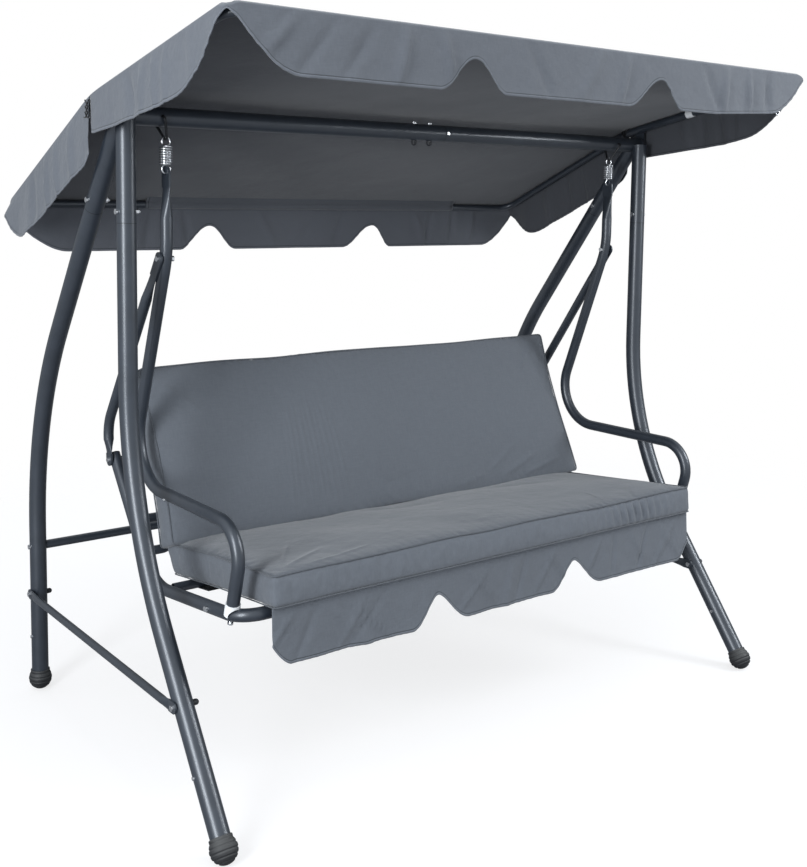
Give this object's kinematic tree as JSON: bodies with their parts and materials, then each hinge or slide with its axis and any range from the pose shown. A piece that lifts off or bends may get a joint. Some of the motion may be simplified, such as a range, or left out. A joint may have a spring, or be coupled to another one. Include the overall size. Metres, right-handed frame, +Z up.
{
  "type": "patio swing",
  "caption": "Hanging bench swing with padded seat and back on a bent-tube frame, hung from coil springs under a tilting fabric canopy with scalloped edges.",
  "frame": {"origin": "on the floor, below the middle of the swing's bounding box", "axes": "+X to the sitter's left along the bench, +Y to the rear, +Z up"},
  "size_m": [1.9612, 1.2932, 1.8563],
  "materials": {
    "frame_paint": "satin",
    "zinc": "satin",
    "loop_steel": "satin",
    "dark_cap": "matte",
    "foot_rubber": "matte",
    "white_nylon": "satin",
    "cushion_fabric": "matte",
    "sling_fabric": "matte",
    "canopy_fabric": "matte",
    "lace": "matte"
  },
  "bodies": {
    "frame": {"head_left": "frame_paint", "head_right": "frame_paint", "front_leg_left": "frame_paint", "front_leg_right": "frame_paint", "rear_leg_left": "frame_paint", "rear_leg_right": "frame_paint", "side_brace_left": "frame_paint", "side_brace_right": "frame_paint", "rear_crossbar": "frame_paint", "beam_left": "frame_paint", "beam_right": "frame_paint", "leg_bolts": "zinc", "leg_nuts": "zinc", "brace_bolts": "zinc", "crossbar_bolts": "zinc", "beam_bolts": "zinc", "frame_screws": "zinc", "canopy_pivot_bolts": "zinc", "hanger_loop_left": "loop_steel", "hanger_loop_right": "loop_steel", "brace_bolt_caps": "dark_cap", "beam_bolt_caps": "dark_cap", "beam_end_plugs": "dark_cap", "crossbar_plugs": "dark_cap", "front_feet": "foot_rubber", "rear_feet": "foot_rubber"},
    "springs": {"spring_left": "zinc", "spring_right": "zinc"},
    "seat": {"arm_tube_left": "frame_paint", "arm_tube_right": "frame_paint", "rear_hanger_left": "frame_paint", "rear_hanger_right": "frame_paint", "side_rail_left": "frame_paint", "side_rail_right": "frame_paint", "front_rail": "frame_paint", "rear_rail": "frame_paint", "back_rail": "frame_paint", "back_frame": "frame_paint", "seat_bolts": "zinc", "hanger_nuts": "zinc", "arm_screws": "zinc", "arm_saddles": "white_nylon", "seat_sling": "sling_fabric", "back_sling": "sling_fabric", "seat_cushion": "cushion_fabric", "back_cushion": "cushion_fabric", "seat_skirt": "cushion_fabric"},
    "canopy": {"canopy_bracket_left": "frame_paint", "canopy_bracket_right": "frame_paint", "canopy_bushes": "white_nylon", "canopy_side_tubes": "frame_paint", "canopy_front_rail": "frame_paint", "canopy_rear_rail": "frame_paint", "canopy_cover": "canopy_fabric", "front_valance": "canopy_fabric", "rear_valance": "canopy_fabric", "left_valance": "canopy_fabric", "right_valance": "canopy_fabric", "canopy_ties": "lace", "corner_hook": "zinc"}
  },
  "joints": [
    {"name": "seat_swing", "type": "hinge", "parent": "frame", "child": "springs", "pos_m": [0, -0.0274, 1.61593], "axis": [1, 0, 0], "range_deg": [-20, 20]},
    {"name": "seat_bounce", "type": "slide", "parent": "springs", "child": "seat", "axis": [0, 0, -1], "range_m": [0, 0.03], "stiffness_N_per_m": 45000, "springref_m": -0.0165, "deforming": ["spring_left", "spring_right"]},
    {"name": "canopy_tilt", "type": "hinge", "parent": "frame", "child": "canopy", "pos_m": [0, -0.0274, 1.664], "axis": [1, 0, 0], "range_deg": [-2, 36]}
  ]
}
